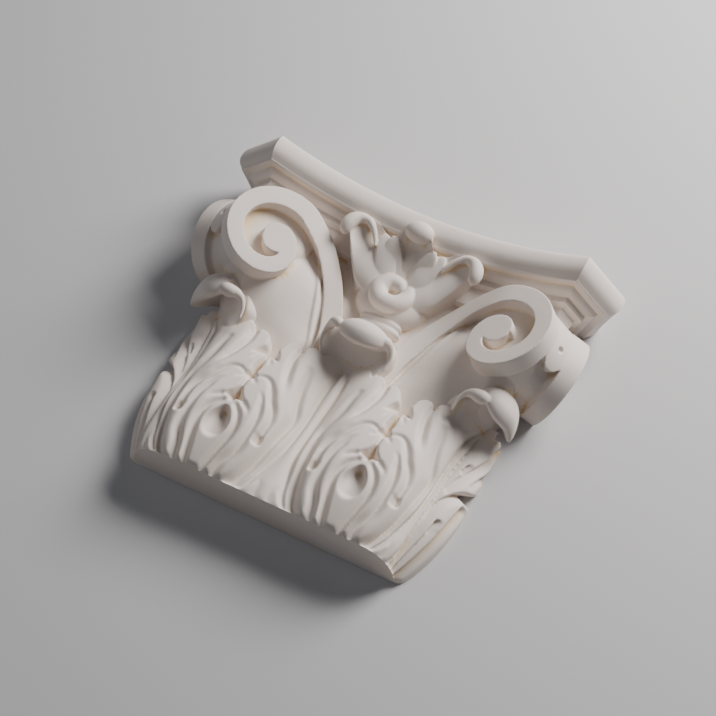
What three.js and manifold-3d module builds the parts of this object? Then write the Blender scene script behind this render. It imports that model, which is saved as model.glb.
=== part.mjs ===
// Corinthian capital for a pilaster, cast in one piece and lying on its flat back.
// X runs across the capital, Y from the neck up to the abacus, Z out of the flat back.
// All sizes are in millimetres. The leaves, scrolls and curls are worked out from the
// named sizes below and joined into one closed solid.
import * as THREE from "three";
import { mergeVertices } from "three/addons/utils/BufferGeometryUtils.js";
import Module from "manifold-3d";

const wasm = await Module();
wasm.setup();

// overall sizes
const HEIGHT = 248;
const NECK_HALF_WIDTH = 100;
const NECK_DEPTH = 35;
const BASKET_HALF_WIDTH = 115.6;
const BASKET_DEPTH = 41;
const CORNER_RADIUS = 29;

// abacus: a hollow front between two cut-off corners
const ABACUS_FRONT_CORNER = 117.2;
const ABACUS_SIDE_CORNER = [146.2, 34.8];
const ABACUS_MIDDLE_DEPTH = 38.3;
const ABACUS_HOLLOW_RADIUS = 286;
const ABACUS_BACK_HALF_WIDTH = 133.2;
// inset from the abacus edge, drop below its top: ovolo, soffit, cove, fillet, bell lip
const ABACUS_PROFILE = [
  [0, 0], [-1.2, 2.5], [-1.6, 8], [-0.6, 13.5], [2.6, 18], [3.4, 19.4], [9, 19.8], [11, 22.4],
  [15.4, 24.4], [15.4, 29], [19.2, 30.4], [20.5, 37], [23, 44],
];

// leaves: three stand round the basket, this far apart from midrib to midrib
const LEAF_SPACING = 99;
const HALF_LEAF = LEAF_SPACING / 2;
const LEAF_TIP_HEIGHT = 126;
const SIDE_LEAF_SPAN = 36;

// corner scrolls: the front face of each one leans outwards
const SCROLL_EYE = [83.2, 174.5];
const SCROLL_FACE_DEPTH = 42;
const SCROLL_FACE_START = 67;
const SCROLL_FACE_SLOPE = 0.48;
const SCROLL_QUARTER_RADII = [10.2, 13.2, 17.6, 29.3, 37.5, 41, 44];
const SCROLL_EYE_RADIUS = 10.2;
const CHANNEL_START = 218;
const CHANNEL_START_RADIUS = 9.6;
const CHANNEL_GROWTH = 16.9;
const CHANNEL_GROWTH_ANGLE = 190;
const CHANNEL_DEPTH = 9;
const SCROLL_RIM = 13;
const DIAGONAL_OFFSET = 78.7;

const clamp = THREE.MathUtils.clamp;
const lerp = THREE.MathUtils.lerp;

function smooth(start, end, value) {
  const t = clamp((value - start) / (end - start), 0, 1);
  return t * t * (3 - 2 * t);
}

// a value read off a broken line through [place, value] pairs
function along(pairs, place) {
  if (place <= pairs[0][0]) return pairs[0][1];
  for (let i = 1; i < pairs.length; i += 1) {
    const [p1, v1] = pairs[i];
    const [p0, v0] = pairs[i - 1];
    if (place <= p1) return lerp(v0, v1, (place - p0) / (p1 - p0));
  }
  return pairs[pairs.length - 1][1];
}

// points along a smooth curve through the given flat points
function curvePoints(points, count) {
  const knots = points.map(([x, y]) => new THREE.Vector3(x, y, 0));
  const curve = new THREE.CatmullRomCurve3(knots, false, "centripetal");
  return curve.getPoints(count).map((p) => [p.x, p.y]);
}

// Closed skin over a list of loops that all have the same number of points.
// Each four-sided face is split along the diagonal that folds the skin least.
function loft(loops) {
  const count = loops[0].length;
  const positions = loops.flat();
  const index = [];
  const at = (i, j) => i * count + (j % count);
  for (let i = 0; i < loops.length - 1; i += 1) {
    for (let j = 0; j < count; j += 1) {
      const a = at(i, j);
      const b = at(i, j + 1);
      const c = at(i + 1, j + 1);
      const d = at(i + 1, j);
      const straight = positions[a].distanceTo(positions[c]) <= positions[b].distanceTo(positions[d]);
      if (straight) index.push(a, b, c, a, c, d);
      else index.push(a, b, d, b, c, d);
    }
  }
  const flat = (loop) => {
    const normal = new THREE.Vector3();
    loop.forEach((p, i) => normal.add(p.clone().cross(loop[(i + 1) % count])));
    const u = new THREE.Vector3(1, 0, 0);
    if (Math.abs(normal.clone().normalize().x) > 0.7) u.set(0, 0, 1);
    const v = normal.clone().cross(u).normalize();
    u.crossVectors(v, normal).normalize();
    return loop.map((p) => new THREE.Vector2(p.dot(u), p.dot(v)));
  };
  const last = (loops.length - 1) * count;
  for (const [i, j, k] of THREE.ShapeUtils.triangulateShape(flat(loops[0]), [])) index.push(k, j, i);
  for (const [i, j, k] of THREE.ShapeUtils.triangulateShape(flat(loops.at(-1)), [])) {
    index.push(last + i, last + j, last + k);
  }
  const geometry = new THREE.BufferGeometry();
  geometry.setAttribute("position", new THREE.Float32BufferAttribute(positions.flatMap((p) => p.toArray()), 3));
  geometry.setIndex(index);
  return outward(geometry);
}

// turns the faces of a closed geometry outwards
function outward(geometry) {
  const position = geometry.getAttribute("position");
  const index = Array.from(geometry.getIndex().array);
  const [a, b, c] = [new THREE.Vector3(), new THREE.Vector3(), new THREE.Vector3()];
  let volume = 0;
  for (let i = 0; i < index.length; i += 3) {
    a.fromBufferAttribute(position, index[i]);
    b.fromBufferAttribute(position, index[i + 1]);
    c.fromBufferAttribute(position, index[i + 2]);
    volume += a.dot(b.cross(c));
  }
  if (volume < 0) index.reverse();
  geometry.setIndex(index);
  return geometry;
}

function solid(geometry) {
  geometry.deleteAttribute("normal");
  geometry.deleteAttribute("uv");
  const merged = mergeVertices(geometry, 1e-4);
  const triVerts = [];
  const index = merged.getIndex().array;
  for (let i = 0; i < index.length; i += 3) {
    const [p, q, r] = [index[i], index[i + 1], index[i + 2]];
    if (p !== q && q !== r && r !== p) triVerts.push(p, q, r);
  }
  return new wasm.Manifold(new wasm.Mesh({
    numProp: 3,
    vertProperties: new Float32Array(merged.getAttribute("position").array),
    triVerts: new Uint32Array(triVerts),
  }));
}

// the same solid on the other side of the middle
function mirrored(geometry) {
  const copy = geometry.clone().applyMatrix4(new THREE.Matrix4().makeScale(-1, 1, 1));
  return outward(copy);
}

// the same solid on the other face of a corner, across the corner's diagonal
function acrossCorner(geometry) {
  const copy = geometry.clone();
  const position = copy.getAttribute("position");
  for (let i = 0; i < position.count; i += 1) {
    const x = position.getX(i);
    const z = position.getZ(i);
    position.setX(i, z + DIAGONAL_OFFSET);
    position.setZ(i, x - DIAGONAL_OFFSET);
  }
  return outward(copy);
}

// LEAVES
// A gouge is a smooth cut in the leaf: points [distance from midrib, height],
// its depth at both ends and the middle, and its half width.
function gouge(points, depths, halfWidth) {
  return { line: curvePoints(points, 4 * points.length), depths, halfWidth };
}

function gougeDepth({ line, depths, halfWidth }, across, up) {
  let nearest = Infinity;
  let place = 0;
  for (let i = 0; i < line.length - 1; i += 1) {
    const [x0, y0] = line[i];
    const [dx, dy] = [line[i + 1][0] - x0, line[i + 1][1] - y0];
    const t = clamp(((across - x0) * dx + (up - y0) * dy) / (dx * dx + dy * dy), 0, 1);
    const distance = Math.hypot(across - x0 - t * dx, up - y0 - t * dy);
    if (distance < nearest) {
      nearest = distance;
      place = (i + t) / (line.length - 1);
    }
  }
  const depth = place < 0.5 ? lerp(depths[0], depths[1], 2 * place) : lerp(depths[1], depths[2], 2 * place - 1);
  return depth * (1 - smooth(0, halfWidth, nearest));
}

// cuts in the half of a leaf that shows on the front, from its midrib to the next leaf
const FRONT_GOUGES = [
  gouge([[17.4, 0], [12.6, 7], [7.8, 25], [4.4, 44], [4, 62], [4.2, 90], [3.4, 112], [0, 125]], [3.4, 2, 2.4], 2.4),
  gouge([[25, 0], [20.5, 6], [15.9, 19], [12.8, 36], [11, 50], [10.3, 64]], [4.2, 3.4, 3], 4.2),
  gouge([[10.3, 64], [13.6, 76], [16.2, 86], [18, 101]], [3, 3, 1.2], 3.8),
  gouge([[20.5, 36], [20.3, 50], [24, 61], [30, 71], [36, 78.5], [43, 80.5]], [4.2, 3, 2.6], 3.6),
  gouge([[35.5, 0], [33.4, 10], [28.1, 24], [26.8, 37], [28.3, 49], [31.5, 61], [39, 69]], [4, 3.6, 1.6], 4),
  gouge([[48, 0], [41.5, 14], [38, 27], [37.8, 37], [40.5, 44], [44.5, 49.5]], [4.6, 3.6, 1.4], 4.2),
  gouge([[23.6, 76], [28, 88], [31, 99], [32.4, 112]], [0.8, 2.8, 3], 4.6),
  gouge([[41, 98.5], [45, 103], [49.5, 112]], [1.5, 7, 9], 3.6),
  gouge([[49.5, 57], [49.5, 66], [49.5, 76], [49.5, 84]], [8, 2.5, 8], 3),
  gouge([[41.5, 55], [45.5, 58], [49.5, 61]], [1, 6, 9], 3.4),
  gouge([[46, 83.5], [49.5, 80]], [3, 8, 9], 3.4),
  gouge([[49.5, 84], [49.5, 100]], [6, 2.5, 8], 2.6),
];

// cuts in the half of a corner leaf that shows on the side, squeezed against the wall
const SIDE_GOUGES = [
  gouge([[4.6, 0], [4.6, 30], [4, 60], [4.2, 90], [3.4, 112], [0, 125]], [3.4, 2, 2.4], 2.4),
  gouge([[24, 0], [24, 30], [25, 62]], [3.5, 3.5, 3.5], 4),
  gouge([[14, 40], [15, 52]], [4, 2, 0.5], 2.8),
  gouge([[8, 46], [13, 59], [21, 67], [29, 71], [36, 74]], [1.5, 4, 12], 5),
  gouge([[9, 66], [13, 76], [20, 90], [27, 104], [30, 112]], [2.5, 3.5, 3], 4.4),
  gouge([[12, 88], [14, 100]], [3.4, 2, 0.5], 2.8),
];

// the eye between two leaves: a scooped bowl, deepest at its upper end
function eyeBowl(across, up) {
  const rise = (up - 22) / 28;
  if (rise <= 0 || rise >= 1) return 0;
  const halfWidth = 7.8 * Math.sqrt(Math.sin(Math.PI * rise ** 0.72));
  const side = (HALF_LEAF - across) / halfWidth;
  if (side >= 1) return 0;
  return lerp(6, 10, rise) * (1 - side ** 2) * smooth(0, 0.3, rise) * (1 - smooth(0.8, 1, rise));
}

// the leaf's fingers lean outwards towards their feet and towards their tips
function lean(finger, up) {
  const feet = 15 * Math.max(0, 1 - up / 40) ** 1.6;
  const tips = Math.max(0, up - 52) / 50;
  return finger
    + feet * along([[0, 0], [5.4, 1], [10, 1], [27, 0.57], [39.5, 0.57], [49.5, 0]], finger)
    + tips * along([[0, 0], [4.6, 0], [10, 7], [19, 8], [27, 5], [36, 2.4], [49.5, 0]], finger);
}

// how far the leaf's surface lies behind the line over its ribs
function leafDepth(finger, across, up, gouges) {
  const midrib = along([[0, 4], [30, 15], [60, 18.5], [80, 18], [105, 13], [126, 9]], up);
  let depth = midrib * clamp(1 - (finger - 3) / 28, 0, 1) ** 1.5;
  if (finger < 3) depth = midrib - 1.2 * (1 - (finger / 3) ** 2);
  return depth + Math.max(...gouges.map((g) => gougeDepth(g, across, up)));
}

// height that the leaf's edge reaches at each distance from its midrib
const LEAF_EDGE = [
  [0, 130], [16, 128], [19, 120], [24, 122], [29, 120.5], [31.6, 113.5], [34.4, 118.5],
  [39, 119], [44, 113.5], [46.6, 106], [47.4, 101], [49.5, 98],
];

// plan of the basket at one height: envelope depth, half width and corner radius
function basketPlan(up) {
  const belly = up < 40 ? (BASKET_DEPTH - NECK_DEPTH) * (1 - up / 40) ** 2 : 15 * ((up - 40) / 77) ** 1.5;
  const flare = (BASKET_HALF_WIDTH - NECK_HALF_WIDTH) * Math.max(0, 1 - up / 68) ** 2.2;
  const depth = BASKET_DEPTH - belly;
  return { depth, halfWidth: BASKET_HALF_WIDTH - flare, radius: Math.min(CORNER_RADIUS, depth) };
}

// point and outward direction on the envelope; place runs from the middle to the wall
function envelope(place, up) {
  const { depth, halfWidth, radius } = basketPlan(up);
  const flatEnd = halfWidth - radius;
  const eighth = (radius * Math.PI) / 4;
  const sideLength = eighth + depth - radius;
  let turn = 0;
  let down = 0;
  if (place > LEAF_SPACING) {
    const run = ((place - LEAF_SPACING) / SIDE_LEAF_SPAN) * sideLength;
    turn = Math.PI / 4 + Math.min(run, eighth) / radius;
    down = Math.max(0, run - eighth);
  } else if (place > flatEnd) {
    turn = ((place - flatEnd) / (LEAF_SPACING - flatEnd)) * (Math.PI / 4);
  }
  const x = place > flatEnd ? flatEnd + radius * Math.sin(turn) : place;
  const z = depth - radius + radius * Math.cos(turn) - down;
  return { x, z, outX: Math.sin(turn), outZ: Math.cos(turn) };
}

// BELL behind the leaves, the scrolls and the flower
const STEM_CENTRE = [[118, 23], [140, 26], [160, 31], [171, 35.5], [183, 41], [195, 50], [205, 58], [222, 66]];
const BELL_CORNER_RADIUS = 18;

function bellHalfWidth(up) {
  return along([[104, 93], [112, 95], [126, 103], [140, 110], [150, 112]], up);
}

// depth of the bell at a distance from the middle: level between the stems, rising beyond them
function bellDepth(x, up) {
  const middle = along([[104, 11], [118, 12.5], [126, 13], [150, 11], [185, 10], [205, 13], [222, 18]], up);
  const slope = along([[104, 0.05], [118, 0.12], [128, 0.22], [140, 0.32], [150, 0.46], [200, 0.5], [222, 0.3]], up);
  const beyond = Math.max(0, Math.abs(x) - along(STEM_CENTRE, up));
  return middle + slope * beyond;
}

function bell() {
  const heights = [104, 118, 128, 140, 150, 165, 180, 195, 208, 221];
  const steps = 8;
  return loft(heights.map((up) => {
    const halfWidth = bellHalfWidth(up);
    const flatEnd = halfWidth - BELL_CORNER_RADIUS;
    const corner = bellDepth(flatEnd, up) - BELL_CORNER_RADIUS;
    const right = [];
    for (let i = 0; i <= steps; i += 1) {
      const x = (flatEnd * i) / steps;
      right.push(new THREE.Vector3(x, up, bellDepth(x, up)));
    }
    for (const turn of [0.35, 0.7, 1]) {
      const angle = (turn * Math.PI) / 2;
      const x = flatEnd + BELL_CORNER_RADIUS * Math.sin(angle);
      right.push(new THREE.Vector3(x, up, corner + BELL_CORNER_RADIUS * Math.cos(angle)));
    }
    right.push(new THREE.Vector3(halfWidth, up, -BELL_CORNER_RADIUS));
    const left = right.slice(1).reverse().map((p) => new THREE.Vector3(-p.x, p.y, p.z));
    return [...left, ...right];
  }));
}

function basketPoint(place, finger, up, gouges) {
  const { x, z, outX, outZ } = envelope(place, up);
  const across = place > LEAF_SPACING ? place - LEAF_SPACING : HALF_LEAF - Math.abs(HALF_LEAF - place);
  let depth = leafDepth(finger, across, up, gouges);
  if (place <= LEAF_SPACING) depth += eyeBowl(across, up);
  const gap = outZ * (z - bellDepth(x, up)) + outX * (x - bellHalfWidth(up));
  const edge = along(LEAF_EDGE, across);
  depth = lerp(depth, Math.max(depth, gap + 2), smooth(edge - 1, edge + 1.5, up));
  return new THREE.Vector3(x - outX * depth, up, Math.max(0, z - outZ * depth));
}

// columns of the half leaf: the cuts between the fingers and the crests of the fingers
const LEAF_COLUMNS = [0, 2.4, 4.6, 7.4, 10.2, 14, 18, 22, 27, 31, 34.4, 38, 42, 45.6, 49.5];
const SIDE_COLUMNS = [3, 6.5, 11, 16, 21, 26, 31, 36];
const BASKET_ROWS = 21;

function basketLoop(up) {
  const half = [];
  for (const finger of LEAF_COLUMNS) {
    half.push(basketPoint(lean(finger, up), finger, up, FRONT_GOUGES));
  }
  for (const finger of LEAF_COLUMNS.slice(0, -1).reverse()) {
    half.push(basketPoint(LEAF_SPACING - lean(finger, up), finger, up, FRONT_GOUGES));
  }
  for (const finger of SIDE_COLUMNS) {
    half.push(basketPoint(LEAF_SPACING + finger, finger, up, SIDE_GOUGES));
  }
  half[half.length - 1].z = 0;
  const left = half.slice(1).reverse().map((p) => new THREE.Vector3(-p.x, p.y, p.z));
  return [...left, ...half];
}

function basket() {
  const loops = [];
  for (let row = 0; row <= BASKET_ROWS; row += 1) loops.push(basketLoop((LEAF_TIP_HEIGHT * row) / BASKET_ROWS));
  return loft(loops);
}

// ABACUS
function abacus() {
  const path = [];
  const centre = ABACUS_MIDDLE_DEPTH + ABACUS_HOLLOW_RADIUS;
  const frontDepth = (x) => centre - Math.sqrt(ABACUS_HOLLOW_RADIUS ** 2 - x ** 2);
  const steps = 9;
  for (let i = 0; i <= steps; i += 1) {
    const x = (ABACUS_FRONT_CORNER * i) / steps;
    path.push([x, frontDepth(x)]);
  }
  const [sideX, sideZ] = ABACUS_SIDE_CORNER;
  path.push([sideX, sideZ], [lerp(sideX, ABACUS_BACK_HALF_WIDTH, 0.58), sideZ / 2], [ABACUS_BACK_HALF_WIDTH, 0]);
  const half = path.map(([x, z], i) => {
    const before = path[i - 1] ?? [-1, z];
    const after = path[i + 1] ?? [2 * x - path[i - 1][0], -path[i - 1][1]];
    const normalOf = ([x0, z0], [x1, z1]) => new THREE.Vector2(z0 - z1, x1 - x0).normalize();
    const n1 = normalOf(before, [x, z]);
    const n2 = normalOf([x, z], after);
    const mitre = n1.clone().add(n2).divideScalar(1 + n1.dot(n2));
    if (i === path.length - 1) mitre.set(1 / n1.x, 0);
    return { x, z, mitre };
  });
  return loft(ABACUS_PROFILE.map(([inset, drop]) => {
    const right = half.map(({ x, z, mitre }) => new THREE.Vector3(x - inset * mitre.x, HEIGHT - drop, z - inset * mitre.y));
    const left = right.slice(1).reverse().map((p) => new THREE.Vector3(-p.x, p.y, p.z));
    return [...left, ...right];
  }));
}

// SCROLLS
const faceDepth = (x) => SCROLL_FACE_DEPTH + SCROLL_FACE_SLOPE * (x - SCROLL_FACE_START);
const FACE_STRETCH = Math.hypot(1, SCROLL_FACE_SLOPE);

function spiralRadius(angle) {
  const quarter = clamp(angle / 90, 0, SCROLL_QUARTER_RADII.length - 1);
  const i = Math.min(Math.floor(quarter), SCROLL_QUARTER_RADII.length - 2);
  const t = quarter - i;
  const p1 = SCROLL_QUARTER_RADII[i];
  const p2 = SCROLL_QUARTER_RADII[i + 1];
  const p0 = SCROLL_QUARTER_RADII[i - 1] ?? 2 * p1 - p2;
  const p3 = SCROLL_QUARTER_RADII[i + 2] ?? 2 * p2 - p1;
  return p1 + 0.5 * t * (p2 - p0 + t * (2 * p0 - 5 * p1 + 4 * p2 - p3 + t * (3 * (p1 - p2) + p3 - p0)));
}

function channelRadius(angle) {
  const turn = clamp((angle - CHANNEL_START) / CHANNEL_GROWTH_ANGLE, -1, 1);
  if (turn < 0) return lerp(4, CHANNEL_START_RADIUS, clamp(angle / CHANNEL_START, 0, 1));
  return CHANNEL_START_RADIUS + CHANNEL_GROWTH * Math.sin((Math.PI / 2) * turn);
}

function scrollPoint(angle, radius) {
  const rad = THREE.MathUtils.degToRad(angle);
  return [SCROLL_EYE[0] + (radius * Math.cos(rad)) / FACE_STRETCH, SCROLL_EYE[1] + radius * Math.sin(rad)];
}

// stem of the scroll, from behind the leaves up to the spiral: outer and inner edge
const STEM_OUTER = [[17, 118], [20, 140], [24.2, 160], [29.4, 171], [35.3, 183], [42.7, 195.4], [51.3, 205], [62, 211.5]];
const STEM_INNER = [[28.5, 118], [32, 140], [37, 157], [41.3, 169], [46, 178], [52, 186], [59, 192.5], [67, 197]];

function stemDepth(x) {
  return lerp(16, SCROLL_FACE_DEPTH, smooth(38, 78, x));
}

function scrollBand() {
  const outer = [...STEM_OUTER];
  const inner = [...STEM_INNER];
  for (let angle = 468; angle >= 0; angle -= 19.5) {
    outer.push(scrollPoint(angle, spiralRadius(angle)));
    inner.push(scrollPoint(angle, Math.min(channelRadius(angle), spiralRadius(angle) - 3)));
  }
  const top = ([x, y], i) => new THREE.Vector3(x, y, i < STEM_OUTER.length ? stemDepth(x) : faceDepth(x));
  return loft(outer.map((point, i) => {
    const a = top(point, i);
    const b = top(inner[i], i);
    const foot = i < STEM_OUTER.length ? 30 : SCROLL_RIM;
    const low = (p) => new THREE.Vector3(p.x, p.y, Math.max(2, p.z - foot));
    return [a, b, low(b), low(a)];
  }));
}

function scrollEye() {
  const ring = (radius, sink) => {
    const loop = [];
    for (let angle = 0; angle < 360; angle += 24) {
      const [x, y] = scrollPoint(angle, radius);
      loop.push(new THREE.Vector3(x, y, faceDepth(x) - sink));
    }
    return loop;
  };
  return loft([ring(SCROLL_EYE_RADIUS, 0), ring(SCROLL_EYE_RADIUS, SCROLL_RIM)]);
}

// the drum between the two faces of a corner scroll, with a waist in the middle
function scrollDrum() {
  const toCorner = (p) => new THREE.Vector3(p.z + DIAGONAL_OFFSET, p.y, p.x - DIAGONAL_OFFSET);
  const ring = (sink, scale) => {
    const loop = [];
    for (let angle = 198; angle < 558; angle += 18) {
      const closing = smooth(450, 558, angle);
      const radius = scale * lerp(spiralRadius(angle), spiralRadius(198), closing);
      const [x, y] = scrollPoint(angle, radius);
      loop.push(new THREE.Vector3(x + 0.43 * sink, y, faceDepth(x) - 0.9 * sink));
    }
    return loop;
  };
  const half = [ring(CHANNEL_DEPTH, 0.97), ring(SCROLL_RIM, 0.99), ring(SCROLL_RIM + 1, 0.86)];
  const far = half.slice().reverse().map((loop) => loop.map(toCorner));
  return loft([...half, ...far]);
}

// the strap that fills the waist below the abacus and ends in a round tongue
function scrollStrap() {
  const start = 456;
  const end = 356;
  const tongue = 16;
  const steps = 6;
  const loops = [];
  for (let i = 0; i <= steps; i += 1) {
    const down = i / steps;
    const point = (angle, scale, share) => {
      const [x, y] = scrollPoint(angle, scale * spiralRadius(angle));
      const near = new THREE.Vector3(x + 0.43 * SCROLL_RIM, y, faceDepth(x) - 0.9 * SCROLL_RIM);
      const far = new THREE.Vector3(near.z + DIAGONAL_OFFSET, y, near.x - DIAGONAL_OFFSET);
      return near.lerp(far, share);
    };
    const outer = [-0.02, 0.25, 0.5, 0.75, 1.02].map((share) => {
      const angle = lerp(start, end - tongue * (1 - (2 * share - 1) ** 2), down);
      return point(angle, 0.965, share);
    });
    const angle = lerp(start, end - tongue / 2, down);
    loops.push([...outer, point(angle, 0.7, 1.02), point(angle, 0.7, -0.02)]);
  }
  return loft(loops);
}

// CURLS: a leaf tip that bends out and over. The hood is its tip and the cup its hollow.
// A station of the cup is [height, half width, depth of the side edges, depth of the hollow].
const MIDDLE_CUP = [
  [112, 15, 16, 14], [119, 18.5, 21, 14.5], [125, 22, 23.5, 17], [131, 24.5, 25, 23],
  [137, 25.5, 25.5, 28], [143, 24, 26, 30], [150, 15, 20, 28],
];
const CORNER_CUP = [
  [112, 13, 8, 13.5], [119, 17, 10, 15], [125, 20, 12.5, 17.5], [131, 22, 14.5, 22],
  [137, 23, 16, 27], [143, 22, 18, 30], [150, 14, 16, 28],
];

function curlCup(stations, place) {
  return loft(stations.map(([up, halfWidth, edge, hollow]) => {
    const right = [
      [0, hollow], [0.5 * halfWidth, lerp(hollow, edge, 0.12)], [0.8 * halfWidth, lerp(hollow, edge, 0.5)],
      [halfWidth - 1.6, edge], [halfWidth, edge - 1.5], [halfWidth + 4, edge - 22],
    ];
    const left = right.slice(1).reverse().map(([across, out]) => [-across, out]);
    return [...left, ...right].map(([across, out]) => place(across, up, out));
  }));
}

const MIDDLE_HOOD = [
  [8, 137], [22, 137], [31, 133], [36, 129.6], [40, 128.2], [44, 130],
  [46.6, 134.5], [46.4, 140.4], [42.5, 145.8], [34, 149.6], [22, 150.8], [8, 149],
];
const CORNER_HOOD = [
  [8, 137], [22, 135], [28, 130], [32, 123], [35, 119.6], [39, 119.6],
  [43, 123.6], [45.2, 130], [44, 138], [39, 145], [30, 149.4], [8, 149],
];
const HOOD_SIDES = [-1, -0.92, -0.72, -0.4, 0, 0.4, 0.72, 0.92, 1];

// The hood is an egg that lies across the leaf's end: its section shrinks to a point in it
// at both sides, and sinks towards its outer side by the droop.
function curlHood({ section, level, middle, halfWidth, droop, place }) {
  return loft(HOOD_SIDES.map((side) => {
    const size = Math.sqrt(1 - 0.96 * side ** 2);
    const sunk = droop * Math.max(0, side) ** 3;
    return section.map(([out, up]) => {
      const y = lerp(level, up, size) - sunk * smooth(10, 34, out);
      return place(middle + side * halfWidth, y, lerp(Math.min(out, 34), out, size));
    });
  }));
}

// A tapered roll: rings of six points round a line of [x, y, z, radius] stations.
function roll(stations, place) {
  return loft(stations.map(([x, y, z, radius], i) => {
    const [x0, y0, z0] = stations[Math.max(0, i - 1)];
    const [x1, y1, z1] = stations[Math.min(stations.length - 1, i + 1)];
    const ahead = new THREE.Vector3(x1 - x0, y1 - y0, z1 - z0).normalize();
    const across = new THREE.Vector3(0, 0, 1).cross(ahead).normalize();
    const out = ahead.clone().cross(across);
    return [0, 1, 2, 3, 4, 5].map((k) => {
      const angle = (k * Math.PI) / 3;
      const point = new THREE.Vector3(x, y, z);
      point.addScaledVector(across, radius * Math.cos(angle)).addScaledVector(out, radius * Math.sin(angle));
      return place(point.x, point.y, point.z);
    });
  }));
}

const onMiddle = (across, up, out) => new THREE.Vector3(across, up, out);

// the corner curls bend out along the diagonals
const CORNER_CURL_DIAGONAL = 75;
const CORNER_CURL_SCALE = 0.84;
function onCorner(across, up, out) {
  const away = 81 + CORNER_CURL_SCALE * (out - 16);
  const side = CORNER_CURL_SCALE * across;
  const x = (away + side) * Math.SQRT1_2 + CORNER_CURL_DIAGONAL / 2;
  const z = (away - side) * Math.SQRT1_2 - CORNER_CURL_DIAGONAL / 2;
  return new THREE.Vector3(x, 131 + CORNER_CURL_SCALE * (up - 131), z);
}

// A curl's side edge ends in a small pearl in front of the hood and runs down as a thin rim.
const MIDDLE_PEARL = [
  [13.5, 138, 37, 0.8], [15.5, 139, 37.4, 3], [18.5, 140.3, 36, 3.8], [22, 139.5, 31.5, 3],
  [24.6, 135, 26.5, 2], [24, 127, 23, 1.4],
];
const CORNER_PEARL = [
  [-12, 127, 35.5, 1], [-13.4, 126.8, 35.4, 4.2], [-17, 126.6, 33.6, 5.6], [-20.4, 127.4, 29, 5.2],
  [-23.4, 127, 23, 3.4], [-24.6, 121, 17, 2],
];

const middleHood = () => curlHood({
  section: MIDDLE_HOOD,
  level: 140,
  middle: 2.5,
  halfWidth: 17.5,
  droop: 0,
  place: onMiddle,
});

const cornerHood = () => curlHood({
  section: CORNER_HOOD,
  level: 133.5,
  middle: 5,
  halfWidth: 19.6,
  droop: 15.5,
  place: onCorner,
});

// FLOWER on the middle of the bell
function ball(x, y, z, rx, ry, rz) {
  const sphere = new THREE.SphereGeometry(1, 8, 6);
  sphere.scale(rx, ry, rz);
  sphere.translate(x, y, z);
  return outward(sphere);
}

// A lobe stands on the bell. Its stations are [x, y, half width, depth of its edges,
// depth of its middle]: a middle behind the edges makes it a cup.
function lobe(stations) {
  return loft(stations.map(([x, y, halfWidth, edge, middle], i) => {
    const [x0, y0] = stations[Math.max(0, i - 1)];
    const [x1, y1] = stations[Math.min(stations.length - 1, i + 1)];
    const across = new THREE.Vector3(y1 - y0, x0 - x1, 0).normalize();
    const point = (side, z) => new THREE.Vector3(x, y, z).addScaledVector(across, side * halfWidth);
    const front = [-1, -0.55, 0, 0.55, 1].map((side) => point(side, lerp(middle, edge, side ** 2)));
    return [...front, point(1.02, 6), point(-1.02, 6)];
  }));
}

function snail() {
  const profile = [
    [0.1, 22], [2.6, 23], [3.6, 28.5], [6.5, 31], [10.5, 30.6], [13.8, 28], [15.6, 23], [15.6, 8], [0.1, 8],
  ].map(([radius, out]) => new THREE.Vector2(radius, out));
  const dome = new THREE.LatheGeometry([...profile, profile[0]], 10);
  dome.rotateX(Math.PI / 2);
  dome.translate(0, 187.5, 0);
  return outward(dome);
}

function flower() {
  const bulb = ball(1, 187, 8, 27, 22, 18);
  const sideLobe = lobe([
    [11, 183, 7, 17, 20], [14, 189, 11, 20, 23], [18, 196, 14, 25, 24], [23, 204, 14.5, 29, 25],
    [29, 211.5, 14, 33, 27], [34.5, 217, 12.5, 36, 30], [39, 221, 10.5, 38, 35], [42.5, 223.5, 8, 38, 38],
  ]);
  const rolledEdge = roll([
    [49, 210, 37, 1.4], [49.2, 213, 38.5, 4.4], [48.4, 219, 39.5, 5.2], [44, 224.6, 39.5, 4.4],
    [38, 225.6, 38.5, 3.8], [31.6, 221, 36.5, 3.2], [26.6, 214.5, 33, 2.4], [24, 208, 30, 0.8],
  ], onMiddle);
  const smallLobe = lobe([
    [8, 193, 5, 22, 23], [12, 202, 5.5, 27, 25], [16, 210, 5.5, 31, 28], [20, 217, 4.5, 34, 32], [23, 222, 1, 36, 36],
  ]);
  const middleLobe = lobe([
    [0, 194, 11, 22, 22], [0, 204, 12, 28, 23], [0, 212, 14, 33, 26], [0, 219, 15.6, 37, 29],
    [0, 223, 13, 39, 32], [0, 228, 11.5, 42, 37], [0, 233, 9, 44, 42],
  ]);
  const collar = ball(1.5, 164.5, 12, 17.5, 7.5, 7.5);
  const tip = ball(0, 231, 41, 10.5, 7.5, 7);
  const right = [sideLobe, rolledEdge, smallLobe];
  return [bulb, middleLobe, snail(), tip, collar, ...right, ...right.map(mirrored)];
}

const WALL_BOX = new THREE.BoxGeometry(2 * 160, 2 * HEIGHT, 120);
WALL_BOX.translate(0, HEIGHT / 2, 60);

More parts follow.
